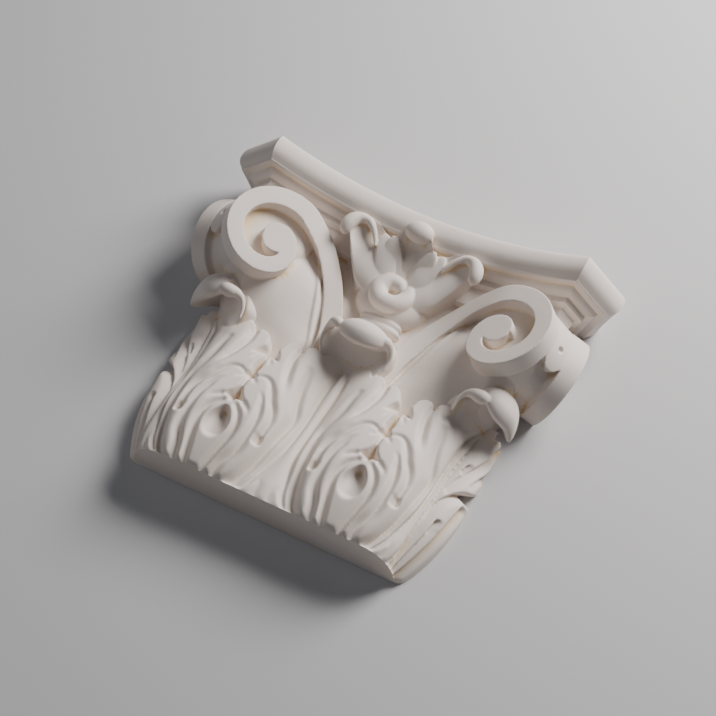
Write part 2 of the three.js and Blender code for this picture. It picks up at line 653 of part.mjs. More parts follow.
function capital() {
  const pieces = [bell(), abacus(), curlCup(MIDDLE_CUP, onMiddle), middleHood(), ...flower()];
  pieces.push(roll(MIDDLE_PEARL, onMiddle), mirrored(roll(MIDDLE_PEARL, onMiddle)));
  const corner = [scrollBand(), scrollEye(), scrollDrum(), scrollStrap(), curlCup(CORNER_CUP, onCorner), cornerHood()];
  corner.push(roll(CORNER_PEARL, onCorner));
  corner.push(acrossCorner(scrollBand()), acrossCorner(scrollEye()));
  for (const piece of corner) pieces.push(piece, mirrored(piece));
  let body = solid(basket());
  for (const piece of pieces) body = body.add(solid(piece));
  body = body.intersect(solid(outward(WALL_BOX)));
  const { vertProperties, triVerts } = body.getMesh();
  const geometry = new THREE.BufferGeometry();
  geometry.setAttribute("position", new THREE.BufferAttribute(new Float32Array(vertProperties), 3));
  geometry.setIndex(new THREE.BufferAttribute(new Uint32Array(triVerts), 1));
  geometry.translate(0, -HEIGHT / 2, 0);
  return geometry;
}

const plaster = new THREE.MeshStandardMaterial({ color: 0xe6dfd3, roughness: 0.75, metalness: 0 });
const mesh = new THREE.Mesh(capital(), plaster);
mesh.name = "capital";

const group = new THREE.Group();
group.add(mesh);

export default group;
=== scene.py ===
import math

import bmesh
import bpy
import numpy as np
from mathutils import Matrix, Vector


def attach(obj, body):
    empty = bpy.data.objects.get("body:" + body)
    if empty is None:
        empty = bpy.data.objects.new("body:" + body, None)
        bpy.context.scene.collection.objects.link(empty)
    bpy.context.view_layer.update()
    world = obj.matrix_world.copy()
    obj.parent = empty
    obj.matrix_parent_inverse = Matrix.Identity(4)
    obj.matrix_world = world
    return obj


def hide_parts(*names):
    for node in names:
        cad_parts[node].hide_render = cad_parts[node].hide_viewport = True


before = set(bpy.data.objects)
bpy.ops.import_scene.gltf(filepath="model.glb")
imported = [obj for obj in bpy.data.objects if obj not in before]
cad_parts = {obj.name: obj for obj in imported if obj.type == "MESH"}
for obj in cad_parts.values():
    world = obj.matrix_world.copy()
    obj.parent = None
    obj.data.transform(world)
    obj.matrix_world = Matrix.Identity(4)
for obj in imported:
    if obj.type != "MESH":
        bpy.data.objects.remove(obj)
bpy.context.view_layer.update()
scene = bpy.context.scene

# Studio: a plain pale floor that the cast lies on, a large soft light up and to the
# right beyond the abacus, a weak fill from the left, and the camera over the neck's end.
FOCAL_LENGTH_PIXELS = 1661.44
PICTURE_PIXELS = 716.0
LIGHT_TARGET = (0, 0, 0.02)

camera_data = bpy.data.cameras.new("camera")
camera = bpy.data.objects.new("camera", camera_data)
scene.collection.objects.link(camera)
scene.camera = camera
camera.location = (0.29203, -0.55282, 0.94665)
camera_target = Vector((-0.00301, 0.01807, 0.0))
look = camera_target - camera.location
camera.rotation_mode = "QUATERNION"
camera.rotation_quaternion = look.to_track_quat("-Z", "Y")
camera_data.sensor_width = 36.0
camera_data.lens = FOCAL_LENGTH_PIXELS * camera_data.sensor_width / PICTURE_PIXELS
camera_data.clip_end = 20.0

floor_mesh = bpy.data.meshes.new("floor")
floor_mesh.from_pydata([(-4, -4, 0), (4, -4, 0), (4, 4, 0), (-4, 4, 0)], [], [(0, 1, 2, 3)])
floor = bpy.data.objects.new("floor", floor_mesh)
floor.location.z = -0.0002
scene.collection.objects.link(floor)
floor_paint = bpy.data.materials.new("floor paint")
floor_paint.use_nodes = True
floor_shader = floor_paint.node_tree.nodes["Principled BSDF"]
floor_shader.inputs["Base Color"].default_value = (0.62, 0.62, 0.64, 1)
floor_shader.inputs["Roughness"].default_value = 0.8
floor_mesh.materials.append(floor_paint)


def area_light(name, place, size, power, colour):
    """A square soft light at a place, aimed at the middle of the cast."""
    data = bpy.data.lights.new(name, "AREA")
    data.size = size
    data.energy = power
    data.color = colour
    lamp = bpy.data.objects.new(name, data)
    lamp.location = place
    aim = Vector(LIGHT_TARGET) - Vector(place)
    lamp.rotation_mode = "QUATERNION"
    lamp.rotation_quaternion = aim.to_track_quat("-Z", "Y")
    scene.collection.objects.link(lamp)


area_light("key", (0.50, 0.95, 0.70), size=0.62, power=29, colour=(1.0, 0.965, 0.93))
area_light("fill", (-0.9, -0.5, 0.7), size=1.0, power=1.6, colour=(0.97, 0.97, 1.0))
world = bpy.data.worlds.new("studio")
scene.world = world
world.use_nodes = True
world.node_tree.nodes["Background"].inputs["Color"].default_value = (0.75, 0.78, 0.82, 1)
world.node_tree.nodes["Background"].inputs["Strength"].default_value = 0.09

# Plaster: a matt cream-white cast with a faint cloudy tint, a fine grain and a gentle
# swell. Its deep hollows are painted darker, as painted shade, and yellower, as sealed plaster goes with age.
plaster = bpy.data.materials.new("plaster")
plaster.use_nodes = True
tree = plaster.node_tree
link = tree.links.new
shader = tree.nodes["Principled BSDF"]
shader.inputs["Roughness"].default_value = 0.62
shader.inputs["Specular IOR Level"].default_value = 0.35
own_place = tree.nodes.new("ShaderNodeTexCoord").outputs["Object"]
hollow_node = tree.nodes.new("ShaderNodeAttribute")
hollow_node.attribute_name = "hollow"
hollow = hollow_node.outputs["Fac"]


def noise(scale, detail):
    """Soft noise from 0 to 1 over the cast's own place."""
    node = tree.nodes.new("ShaderNodeTexNoise")
    node.inputs["Scale"].default_value = scale
    node.inputs["Detail"].default_value = detail
    link(own_place, node.inputs["Vector"])
    return node.outputs["Fac"]


def colour_ramp(share, low, low_colour, high, high_colour):
    """A straight mix of two colours as the share goes from the low mark to the high one."""
    node = tree.nodes.new("ShaderNodeValToRGB")
    node.color_ramp.elements[0].position = low
    node.color_ramp.elements[0].color = low_colour
    node.color_ramp.elements[1].position = high
    node.color_ramp.elements[1].color = high_colour
    link(share, node.inputs["Fac"])
    return node.outputs["Color"]


def bump(height, strength, distance):
    """A bump over a height from 0 to 1; the distance is in metres."""
    node = tree.nodes.new("ShaderNodeBump")
    node.inputs["Strength"].default_value = strength
    node.inputs["Distance"].default_value = distance
    link(height, node.inputs["Height"])
    return node


tint = colour_ramp(noise(22, 3), 0.35, (0.79, 0.708, 0.655, 1), 0.65, (0.83, 0.752, 0.702, 1))
# painted shade with an aged tint: the deeper the hollow, the more the colour goes to a darker, yellower one
hollow_shade_and_age_colour = colour_ramp(hollow, 0.25, (0.80, 0.68, 0.50, 1), 0.85, (0.72, 0.53, 0.28, 1))
tint_with_hollow_shade = tree.nodes.new("ShaderNodeMix")
tint_with_hollow_shade.data_type = "RGBA"
link(hollow, tint_with_hollow_shade.inputs["Factor"])
link(hollow_shade_and_age_colour, tint_with_hollow_shade.inputs["B"])
link(tint, tint_with_hollow_shade.inputs["A"])
link(tint_with_hollow_shade.outputs["Result"], shader.inputs["Base Color"])

grain = bump(noise(900, 2), strength=0.06, distance=0.0004)
swell = bump(noise(120, 2), strength=0.10, distance=0.0012)
link(grain.outputs["Normal"], swell.inputs["Normal"])
link(swell.outputs["Normal"], shader.inputs["Normal"])

# Leaves: three acanthus leaves stand round the basket on the neck, their fingers cut
# into the plaster and their tips bent out and over in curls. One cast with the rest.
# All shapes are worked out in millimetres, y up from the neck's cut face.
HALF_HEIGHT = 124.0
LEAF_SPACING = 99.0
HALF_LEAF = 49.5


def ease(start, end, value):
    """Smooth step: 0 before start, 1 after end, cubic between them."""
    t = np.clip((np.asarray(value, float) - start) / (end - start), 0, 1)
    return t * t * (3 - 2 * t)


def read_off(pairs, value):
    """Broken line through [place, value] pairs."""
    line = np.asarray(pairs, float)
    return np.interp(value, line[:, 0], line[:, 1])


def read_softly(pairs, value, reach):
    """Broken line with its corners rounded: the mean of readings 4 mm apart, up to the reach each way."""
    steps = range(-reach, reach + 1, 4)
    return sum(read_off(pairs, value + step) for step in steps) / len(steps)


def curve_through(points, count):
    """Centripetal Catmull-Rom curve through the points, read at even steps of its length."""
    p = np.asarray(points, float)
    p = np.vstack([2 * p[0] - p[1], p, 2 * p[-1] - p[-2]])
    gap = np.linalg.norm(np.diff(p, axis=0), axis=1) ** 0.5
    knot = np.concatenate([[0], np.cumsum(gap)])
    t = np.linspace(knot[1], knot[-2], 8 * count)
    i = np.clip(np.searchsorted(knot, t, side="right") - 1, 1, len(p) - 3)

    def blend(a, b, ta, tb):
        """Straight mix of a at knot ta and b at knot tb."""
        return ((tb - t)[:, None] * a + (t - ta)[:, None] * b) / (tb - ta)[:, None]

    t0, t1, t2, t3 = knot[i - 1], knot[i], knot[i + 1], knot[i + 2]
    a1 = blend(p[i - 1], p[i], t0, t1)
    a2 = blend(p[i], p[i + 1], t1, t2)
    a3 = blend(p[i + 1], p[i + 2], t2, t3)
    b1 = blend(a1, a2, t0, t2)
    b2 = blend(a2, a3, t1, t3)
    fine = blend(b1, b2, t1, t2)
    run = np.concatenate([[0], np.cumsum(np.linalg.norm(np.diff(fine, axis=0), axis=1))])
    even = np.linspace(0, run[-1], count)
    return np.stack([np.interp(even, run, fine[:, k]) for k in range(p.shape[1])], axis=1)


def curve_at(table, value, column):
    """Smooth curve through one column of a table of stations."""
    fine = curve_through(np.asarray(table, float)[:, [0, column]], 120)
    return np.interp(value, fine[:, 0], fine[:, 1])


def from_line(line, across, up):
    """Distance from a flat line and the place along it from 0 to 1, for arrays of points."""
    best = np.full(across.shape, 1e9)
    place_on = np.zeros(across.shape)
    for i in range(len(line) - 1):
        x0, y0 = line[i]
        dx, dy = line[i + 1] - line[i]
        t = np.clip(((across - x0) * dx + (up - y0) * dy) / (dx * dx + dy * dy), 0, 1)
        d = np.hypot(across - x0 - t * dx, up - y0 - t * dy)
        nearer = d < best
        best = np.where(nearer, d, best)
        place_on = np.where(nearer, (i + t) / (len(line) - 1), place_on)
    return best, place_on


def groove(across, up, points, depths, width, power):
    """A cut: depth times (1 - distance / width) to a power, over 1 for round shoulders, under 1 for holes."""
    line = curve_through(points, 28)
    d, place_on = from_line(line, across, up)
    widths = np.atleast_1d(width)
    depth = np.interp(place_on, np.linspace(0, 1, len(depths)), depths)
    wide = np.interp(place_on, np.linspace(0, 1, len(widths)), widths)
    return depth * np.clip(1 - d / wide, 0, 1) ** power


# the cuts of the half leaf on the front: points [from the midrib, height], depths, width
FRONT_CUTS = [
    ([(17.4, 0), (12.6, 7), (7.8, 25), (4.4, 44), (3.7, 60), (3.9, 75), (4.6, 93), (3.3, 110), (0.3, 124)],
     [2.6, 3.2, 2.8, 2.6, 2.6], 2.6),
    ([(25, 0), (20.5, 6), (15.9, 19), (13, 35), (11.3, 50), (10.3, 65), (13.6, 76), (16.1, 86), (17.3, 97),
      (18.7, 103)],
     [5.4, 5.8, 5.8, 5.8, 5.6, 4.6, 1.8], [5.0, 5.2, 4.8, 4.6, 4.6, 3.8]),
    ([(20.4, 38), (20.1, 44), (20.3, 51), (22.8, 59), (26.9, 65), (29.9, 71), (35, 78.5), (40, 80.3),
      (46, 77.5)],
     [6, 4.6, 4.8, 5.0, 4.4, 3.4, 3.0], [4, 4.4, 4.6, 5, 4.6, 3.6]),
    ([(35.5, 0), (33.4, 10), (28.6, 22), (27.3, 37), (28.3, 49), (30.5, 57), (32.4, 63), (37.9, 69)],
     [5.6, 5.6, 5.4, 5.2, 4.6, 1.0], [5.2, 5.4, 5, 4.6]),
    ([(33.8, 44), (36.4, 50), (41.5, 54.4)], [0.6, 3.0, 4.4], 4.0),
    ([(43.5, 0), (41.6, 8), (38.7, 20), (36.9, 30), (37.4, 38), (40.2, 45), (44.6, 50)],
     [5.4, 5.6, 5.4, 5.2, 5.0, 3.6], [4.6, 4.8, 4.6, 4.4]),
    ([(40.5, 69.5), (45, 74.5), (49.5, 77)], [0.6, 3.4, 5], 3.6),
    ([(23.6, 77), (28, 87.5), (30.8, 98), (32.2, 106), (31.9, 114)], [0.8, 4.6, 5.6, 5.4, 5], 5.2),
    ([(28.9, 101.5), (28.6, 109.5)], [0.2, 2.0], 2.2),
    ([(40, 88), (43.5, 93), (46, 99)], [0.6, 2.6, 4], 4),
    ([(49.5, 56), (49.5, 78)], [5, 5], 2.6),
    ([(49.5, 84), (49.5, 100)], [6, 6], 4.2),
]
# the holes between the leaves and the drops that end some cuts
FRONT_HOLES = [
    ([(20.5, 33.5), (20.6, 37.5)], [7, 7.5], 3.1),
    ([(43, 55.6), (46, 57), (49.5, 58.4)], [4, 10, 12], [1.2, 2.6, 4.0]),
    ([(49.5, 52.8), (49.5, 57.5), (49.5, 66)], [9, 12, 9], [1.4, 4.0, 0.8]),
    ([(45.2, 76.6), (49.5, 80)], [6, 11], [0.7, 2.8]),
    ([(49.5, 74), (49.5, 80.5), (49.5, 98)], [8, 12, 12], [0.8, 2.8, 1.6]),
    ([(39.6, 96), (43.6, 101), (48, 105)], [2, 8, 13], [0.8, 4.2]),
    ([(49.5, 96), (49.5, 113)], [8, 13], [2, 6]),
]

# the cuts of the half of the corner leaf that turns to the wall, squeezed to 36 mm
SIDE_CUTS = [
    ([(4.6, 0), (4.6, 30), (4, 60), (4.2, 90), (3.3, 110), (0.3, 124)], [2.6, 3.2, 2.8, 2.6, 2.6], 2.6),
    ([(11, 0), (9, 20), (8, 40), (9, 52), (14, 62), (22, 69), (30, 72), (37, 75)],
     [4, 4.4, 3.6, 3.8, 5, 7, 10, 15], [4.2, 4.2, 4, 4.4, 5, 5.4]),
    ([(26, 0), (24.5, 20), (24.5, 44), (27.5, 62)], [5.2, 5.6, 5.4, 5.6], 5.2),
    ([(17.5, 0), (16.6, 18), (16.2, 36)], [3.4, 3.6, 4.6], 4.2),
    ([(9.4, 68), (13, 78), (20, 91), (27, 104), (30, 113)], [3.5, 4.6, 4.8, 4.6, 4.0], [4.6, 5.6]),
    ([(22, 79), (28, 88), (36, 96)], [1, 3, 4.6], [3.6, 4.6]),
]
SIDE_HOLES = [
    ([(15.6, 35), (15.4, 42)], [7, 6.5], 2.5),
    ([(12.2, 86), (13.4, 91)], [6.5, 6], 2.4),
]
# the leaf's upper edge: height by distance from the midrib
LEAF_EDGE = [
    (0, 130), (13, 128), (16.5, 123.2), (18.9, 119.2), (21, 121.4), (25.5, 122.6), (29, 120.4), (31.4, 113.2),
    (33.2, 117.6), (36, 119.3), (39.2, 119), (42.3, 116.4), (44.8, 112.5), (46.3, 107), (46.9, 103),
    (48.3, 100.5), (49.5, 100),
]

FOOT_SPREAD = 15.0
SPREAD_HEIGHT = 40.0
SPREAD_SHARES = [(0, 0), (5.4, 1), (10, 1), (27, 0.57), (39.5, 0.57), (49.5, 0)]


def leaf_lean(finger, up):
    """The fingers lean outwards at their feet: a shift that dies away with height as a power of 1.6."""
    spread = FOOT_SPREAD * np.clip(1 - up / SPREAD_HEIGHT, 0, None) ** 1.6
    return finger + spread * read_off(SPREAD_SHARES, finger)


def unlean(across, up):
    """The finger that stands at a distance across, found by six steps of correction."""
    finger = across.copy()
    for _ in range(6):
        finger = np.clip(finger - 0.7 * (leaf_lean(finger, up) - across), 0, 60)
    return finger


EYE_FOOT = 20.3
EYE_LENGTH = 26.4
EYE_HALF_WIDTH = 7.9
EYE_SINK = 1.2


def eye_bowl(across, up):
    """The scooped eye between two leaves: egg-shaped, round across, deepest at its upper end."""
    rise = np.clip((up - EYE_FOOT) / EYE_LENGTH, 0, 1)
    half_width = EYE_HALF_WIDTH * np.sin(np.pi * rise**0.86) ** 0.7 + 1e-6
    side = np.clip((HALF_LEAF - across) / half_width, 0, 1)
    bowl = (4.2 + 4.4 * ease(0, 1, rise)) * np.sqrt(1 - side**2)
    return np.where(side < 1, bowl, 0) * ease(0, 0.22, rise) * (1 - ease(0.96, 1, rise))


MIDRIB_HOLLOW = [(0, 4), (30, 15), (60, 18.5), (80, 18), (105, 13), (126, 9)]
MIDRIB_HALF_WIDTH = 3.2
MIDRIB_RISE = 1.3
CUT_POWER = 1.3
HOLE_POWER = 0.55


def leaf_relief(across, up, cuts, holes):
    """Depth of the leaf behind the line over its ribs: the hollow round the midrib and the deepest cut."""
    finger = unlean(across, up)
    hollow_mid = read_softly(MIDRIB_HOLLOW, up, 12)
    depth = hollow_mid * np.clip(1 - (finger - 3) / 28, 0, 1) ** 1.5
    stem = hollow_mid - MIDRIB_RISE * (1 - (finger / MIDRIB_HALF_WIDTH) ** 2)
    depth = np.where(finger < MIDRIB_HALF_WIDTH, stem, depth)
    cut = np.zeros(across.shape)
    for points, depths, width in cuts:
        cut = np.maximum(cut, groove(across, up, points, depths, width, CUT_POWER))
    for points, depths, width in holes:
        cut = np.maximum(cut, groove(across, up, points, depths, width, HOLE_POWER))
    return depth + cut


BASKET_DEPTH = 41.0
BASKET_HALF_WIDTH = 115.6
BASKET_CORNER = 29.0


def basket_plan(up):
    """Depth, half width and corner radius of the line over the ribs: drawn in by powers of the height."""
    foot = 6 * np.clip(1 - up / 40, 0, None) ** 2
    shoulder = 15 * (np.clip(up - 40, 0, None) / 77) ** 1.5
    flare = 15.6 * np.clip(1 - up / 68, 0, None) ** 2.2
    deep = BASKET_DEPTH - foot - shoulder
    return deep, BASKET_HALF_WIDTH - flare, np.minimum(BASKET_CORNER, deep)


SIDE_LEAF = 36.0


def over_ribs(place, up):
    """Point and outward direction of the line over the ribs: flat front, round corner, straight side."""
    deep, half_width, radius = basket_plan(up)
    flat_end = half_width - radius
    eighth = radius * np.pi / 4
    side_length = eighth + deep - radius
    run = (place - LEAF_SPACING) / SIDE_LEAF * side_length
    on_side = place > LEAF_SPACING
    front_turn = np.clip((place - flat_end) / (LEAF_SPACING - flat_end), 0, 1) * np.pi / 4
    side_turn = np.pi / 4 + np.clip(run, 0, eighth) / radius
    turn = np.where(on_side, side_turn, front_turn)
    down = np.where(on_side, np.clip(run - eighth, 0, None), 0)
    x = np.where(place > flat_end, flat_end + radius * np.sin(turn), place)
    z = deep - radius + radius * np.cos(turn) - down
    return x, z, np.sin(turn), np.cos(turn)


# the bell behind the leaves, by height, and the scroll's front face that it stays under
BELL_HALF_WIDTH = [(104, 93), (112, 95), (126, 103), (140, 110), (150, 112)]
BELL_MIDDLE = [(104, 11), (118, 12.5), (126, 13), (150, 11), (185, 10), (205, 13), (222, 18)]
BELL_SLOPE = [
    (104, 0.05), (118, 0.12), (128, 0.22), (140, 0.34), (155, 0.54), (170, 0.66), (200, 0.66), (222, 0.3),
]
BELL_UNDER_FACE = [(140, 13.5), (172, 9.8)]
STEM_CENTRE = [(118, 23), (140, 26), (160, 31), (171, 35.5), (183, 41), (195, 50), (205, 58), (222, 66)]
FACE_X, FACE_Z = 67.0, 42.0
FACE_SLOPE = 0.48
BLEND_WIDTH = 10.0


def bell_half_width(up):
    """Half width of the bell at its back."""
    return read_off(BELL_HALF_WIDTH, up)


def face_depth(x):
    """Depth of the scroll's front face, which leans outwards."""
    return FACE_Z + FACE_SLOPE * (x - FACE_X)


def bell_depth(x, up):
    """Depth of the bell: level between the stems and rising beyond them, softly held under the face."""
    middle = read_softly(BELL_MIDDLE, up, 8)
    slope = read_softly(BELL_SLOPE, up, 8)
    beyond = np.abs(x) - read_softly(STEM_CENTRE, up, 8)
    rising = middle + slope * (np.sqrt(beyond**2 + 64) + beyond) / 2
    under_face = face_depth(np.abs(x)) - read_softly(BELL_UNDER_FACE, up, 8)
    under_face = np.maximum(under_face, middle)
    share = np.clip(0.5 + (under_face - rising) / BLEND_WIDTH, 0, 1)
    eased = under_face * (1 - share) + rising * share - BLEND_WIDTH / 2 * share * (1 - share)
    return rising + (eased - rising) * ease(112, 140, up)


PAST_CUT = -4.0
FOOT_ROUND = 3.4
FOOT_SINK = 4.6
BEHIND_BELL = 2.5


def basket_skin():
    """Closed skin of the basket: its relief on a grid of place along the plan by height."""
    place = np.concatenate([np.arange(0, 96, 0.5), np.arange(96, 135.01, 0.4)])
    place = np.concatenate([-place[:0:-1], place])
    up = np.concatenate([[PAST_CUT], np.arange(0, 126.01, 0.55), [127.0]])
    grid_place, grid_up = np.meshgrid(place, up)
    width = np.abs(grid_place)
    flat_up = np.clip(grid_up, 0, None)
    x, z, out_x, out_z = over_ribs(width, flat_up)
    on_front = width <= LEAF_SPACING
    across = np.where(on_front, HALF_LEAF - np.abs(HALF_LEAF - width), width - LEAF_SPACING)
    eyes = EYE_SINK + eye_bowl(across, flat_up)
    front = np.maximum(leaf_relief(across, flat_up, FRONT_CUTS, FRONT_HOLES), eyes)
    side = leaf_relief(np.where(on_front, 0, across), flat_up, SIDE_CUTS, SIDE_HOLES)
    deep = np.where(on_front, front, side)
    # three rounds of a small blur each way keep sharp cuts from breaking into dots
    for _ in range(3):
        deep[1:-1] = (deep[:-2] + 2 * deep[1:-1] + deep[2:]) / 4
        deep[:, 1:-1] = (deep[:, :-2] + 2 * deep[:, 1:-1] + deep[:, 2:]) / 4
    to_bell = out_z * (z - bell_depth(x, flat_up)) + out_x * (x - bell_half_width(flat_up))
    edge = read_off(LEAF_EDGE, across)
    rounded = 1 - np.sqrt(1 - np.clip(1 - flat_up / FOOT_ROUND, 0, 1) ** 2)
    deep = deep + (FOOT_SINK - deep) * rounded
    past_edge = ease(edge - 0.4, edge + 0.8, flat_up)
    deep = deep + (np.maximum(deep, to_bell + BEHIND_BELL) - deep) * past_edge
    skin_x = (x - out_x * deep) * np.sign(np.where(grid_place == 0, 1, grid_place))
    skin_z = z - out_z * deep
    skin = np.stack([skin_x, grid_up, skin_z], axis=2)
    skin[:, 0, 2] = PAST_CUT
    skin[:, -1, 2] = PAST_CUT
    return skin


def closed(loops):
    """Vertices and faces of a closed skin over loops of equal length, with flat ends."""
    rows, count = loops.shape[:2]
    i, j = np.meshgrid(np.arange(rows - 1), np.arange(count), indexing="ij")
    k = (j + 1) % count
    low, high = i * count, (i + 1) * count
    quads = np.stack([low + j, low + k, high + k, high + j], axis=2).reshape(-1, 4)
    ends = [list(range(count))[::-1], list(range((rows - 1) * count, rows * count))]
    return loops.reshape(-1, 3), [*quads.tolist(), *ends]


# the curls: a cup that the leaf's tip makes as it bends out, its hood over the hollow and
# a tapered roll beside them, all measured at the middle leaf and set smaller at a corner
CURL_LEVEL = 131.0
CURL_ROOT = 16.0
CORNER_SIZE = 0.84
CORNER_AWAY = 81.0
CORNER_SHIFT = 37.5


def curl_place_middle(across, up, out):
    """The middle curl bends straight out."""
    return np.stack(np.broadcast_arrays(across, up, out), axis=-1).astype(float)


def curl_place_corner(across, up, out):
    """A corner curl bends out along the diagonal, a little smaller."""
    away = CORNER_AWAY + CORNER_SIZE * (out - CURL_ROOT)
    side = CORNER_SIZE * across
    x = (away + side) / math.sqrt(2) + CORNER_SHIFT
    y = CURL_LEVEL + CORNER_SIZE * (up - CURL_LEVEL)
    z = (away - side) / math.sqrt(2) - CORNER_SHIFT
    return np.stack(np.broadcast_arrays(x, y, z), axis=-1)


# stations up the cup: height, half width, depth of its edges, depth of its floor
MIDDLE_CUP = [
    (106, 12, 13, 11), (112, 15, 17, 13.6), (119, 18.5, 21, 14.4), (125, 22, 23.5, 17), (131, 24.5, 25, 22),
    (137, 25.4, 25.7, 28), (143, 24, 26, 31), (148, 19, 24, 31), (151.5, 12, 18, 25),
]
CORNER_CUP = [
    (106, 11, 6, 11), (112, 13, 8, 13.4), (119, 17, 10.5, 15), (125, 19.4, 12.5, 17.5), (131, 18.6, 14.5, 22),
    (137, 15.6, 16.4, 27), (143, 11.6, 18, 31), (148, 7.4, 17, 31), (151.5, 4, 14, 25),
]

# the cup's outside: which side, how far beyond the half width, how far behind the edge
CUP_OUTSIDE = [
    (1, 1.2, 0.5), (1, 1.8, 2.2), (1, 2.2, 9), (1, 3, 22),
    (-1, 0.5, 22), (-1, 1.6, 9), (-1, 1.8, 2.2), (-1, 1.2, 0.5),
]
CUP_POWER = 3.2


def curl_cup(stations, curl_place):
    """Loops across the curl at each height: from floor to edges as a power of the place across."""
    table = np.asarray(stations, float)
    up = np.linspace(table[0, 0], table[-1, 0], 60)
    half_width, edge, floor_z = (curve_at(table, up, k) for k in (1, 2, 3))
    side = np.linspace(-1, 1, 61)
    steep = np.abs(side) ** CUP_POWER
    across = half_width[:, None] * side[None, :]
    out = floor_z[:, None] + (edge - floor_z)[:, None] * steep[None, :]
    front = np.stack([across, np.broadcast_to(up[:, None], across.shape), out], axis=2)
    outside = [np.stack([way * (half_width + beyond), up, edge - behind], axis=1)
               for way, beyond, behind in CUP_OUTSIDE]
    loops = np.concatenate([front, np.stack(outside, axis=1)], axis=1)
    return curl_place(loops[..., 0], loops[..., 1], loops[..., 2])


# the hood's section in the middle of the curl: [out, height]
MIDDLE_HOOD = [
    (8, 137), (22, 137), (31, 133), (36, 129.6), (39.6, 128), (42.2, 128), (43.6, 129.2), (45.4, 131.6),
    (46.8, 135.4), (46.2, 140.6), (42.5, 145.8), (34, 149.6), (22, 150.8), (8, 149),
]
CORNER_HOOD = [
    (8, 137), (22, 135), (28, 130), (32, 123), (35, 119.4), (38, 118.2), (40.2, 119), (42.6, 121.6),
    (44.8, 127), (44.8, 133), (43, 139.6), (38, 145.4), (30, 149.4), (8, 149),
]

HOOD_ROOT = 34.0


def curl_hood(section, level, middle, half_width, droop, curl_place):
    """An egg across the leaf's end: its section shrinks to both sides and sinks to the outer one."""
    line = curve_through(section, 80)
    side = np.sin(np.linspace(-np.pi / 2, np.pi / 2, 61))[:, None]
    size = np.sqrt(1 - 0.985 * side**2)
    out, up = line[None, :, 0], line[None, :, 1]
    sunk = droop * np.clip(side, 0, None) ** 3
    y = level + (up - level) * size - sunk * ease(10, HOOD_ROOT, out)
    start = np.minimum(out, HOOD_ROOT)
    return curl_place(middle + side * half_width + 0 * out, y, start + (out - start) * size)


def roll(stations, curl_place):
    """A tapered roll: rings round a smooth line through [x, y, z, radius] stations."""
    line = curve_through(stations, 60)
    centre, radius = line[:, :3], line[:, 3:]
    ahead = np.gradient(centre, axis=0)
    ahead /= np.linalg.norm(ahead, axis=1, keepdims=True)
    across = np.cross([0.0, 0.0, 1.0], ahead)
    across /= np.linalg.norm(across, axis=1, keepdims=True)
    out = np.cross(ahead, across)
    turn = np.linspace(0, 2 * np.pi, 28, endpoint=False)[None, :, None]
    rings = centre[:, None] + radius[:, None] * (across[:, None] * np.cos(turn) + out[:, None] * np.sin(turn))
    return curl_place(rings[..., 0], rings[..., 1], rings[..., 2])


# the rolls beside the curls: [across, height, out, radius]
MIDDLE_PEARL = [
    (13, 137.6, 36.5, 0.6), (14.2, 138.2, 37, 2.6), (17, 139.8, 36.6, 3.8), (20, 140.4, 34, 3.6),
    (23, 138.6, 29.6, 2.6), (24.8, 134, 25.6, 1.8), (24, 127, 23, 1.2),
]
CORNER_PEARL = [
    (-11.4, 127.2, 35.8, 0.8), (-12.6, 127, 35.6, 3.6), (-15.6, 126.6, 34.4, 5.4), (-18.4, 126.8, 31.6, 5.5),
    (-21.4, 127.6, 26.8, 4.2), (-23.8, 126, 21.4, 2.6), (-24.6, 120, 16.4, 1.7), (-23, 112, 13, 1.2),
]


def to_right(points):
    """The shape where it was measured, on the right."""
    return points


def to_left(points):
    """The same shape on the other side of the middle."""
    return points * np.array([-1.0, 1.0, 1.0])


def in_metres(vertices):
    """Millimetres from the neck's cut face as metres from the middle of the height."""
    return (vertices - np.array([0, HALF_HEIGHT, 0])) / 1000


def join_skins(skins):
    """One list of vertices and faces from the loops of several closed skins."""
    vertices, faces, start = [], [], 0
    for loops in skins:
        skin_vertices, skin_faces = closed(loops)
        vertices.append(skin_vertices)
        faces.extend([[start + n for n in face] for face in skin_faces])
        start += len(skin_vertices)
    return np.concatenate(vertices), faces


VOXEL = 0.62
SMOOTHING_ROUNDS = 2


